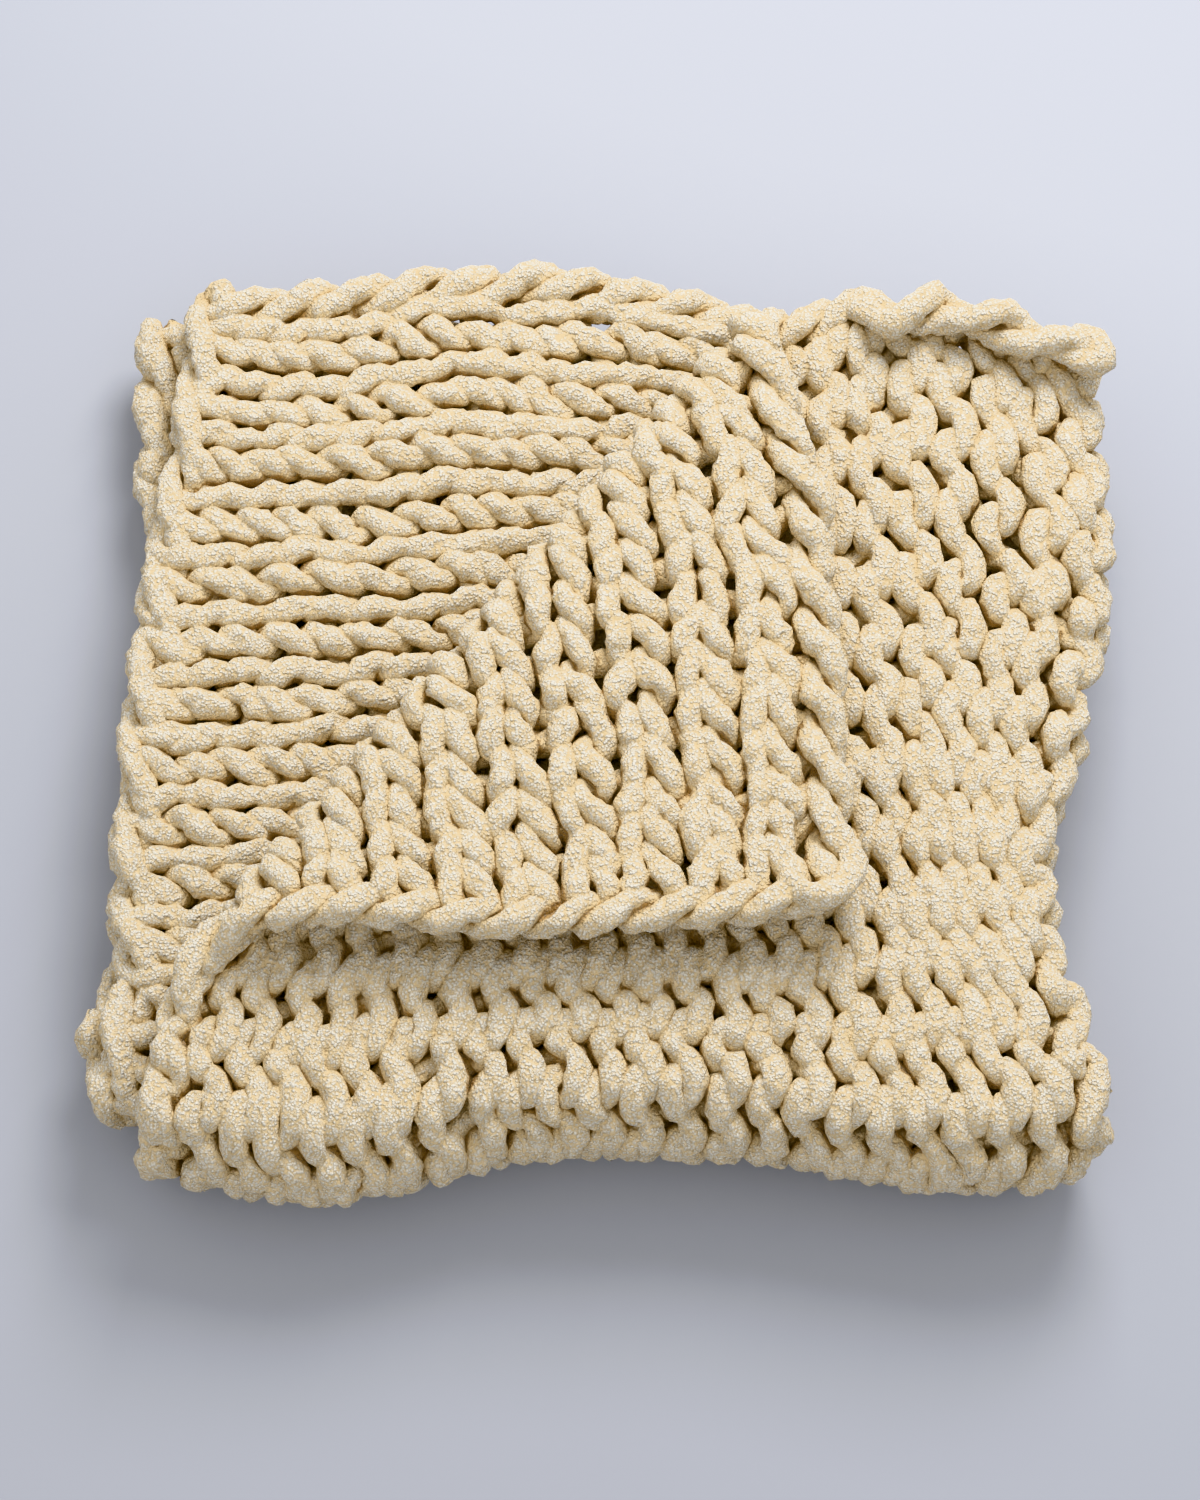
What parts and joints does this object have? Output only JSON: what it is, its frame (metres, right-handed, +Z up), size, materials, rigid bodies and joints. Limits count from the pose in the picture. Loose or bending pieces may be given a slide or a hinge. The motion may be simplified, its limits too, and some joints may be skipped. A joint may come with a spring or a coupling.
{
  "type": "chunky knit blanket",
  "caption": "Thick hand-knit throw in plush chenille yarn, folded in four with one corner turned back over its diagonal",
  "frame": {"origin": "on the resting surface, under the middle of the folded stack", "axes": "+Z up through the layers, +X to the right folded edge, +Y to the back, where the free side edges lie"},
  "size_m": [0.741, 0.7146, 0.1699],
  "materials": {
    "blanket": "soft matt chenille pile, cream"
  },
  "bodies": {
    "root": {"blanket": "blanket"}
  },
  "joints": []
}
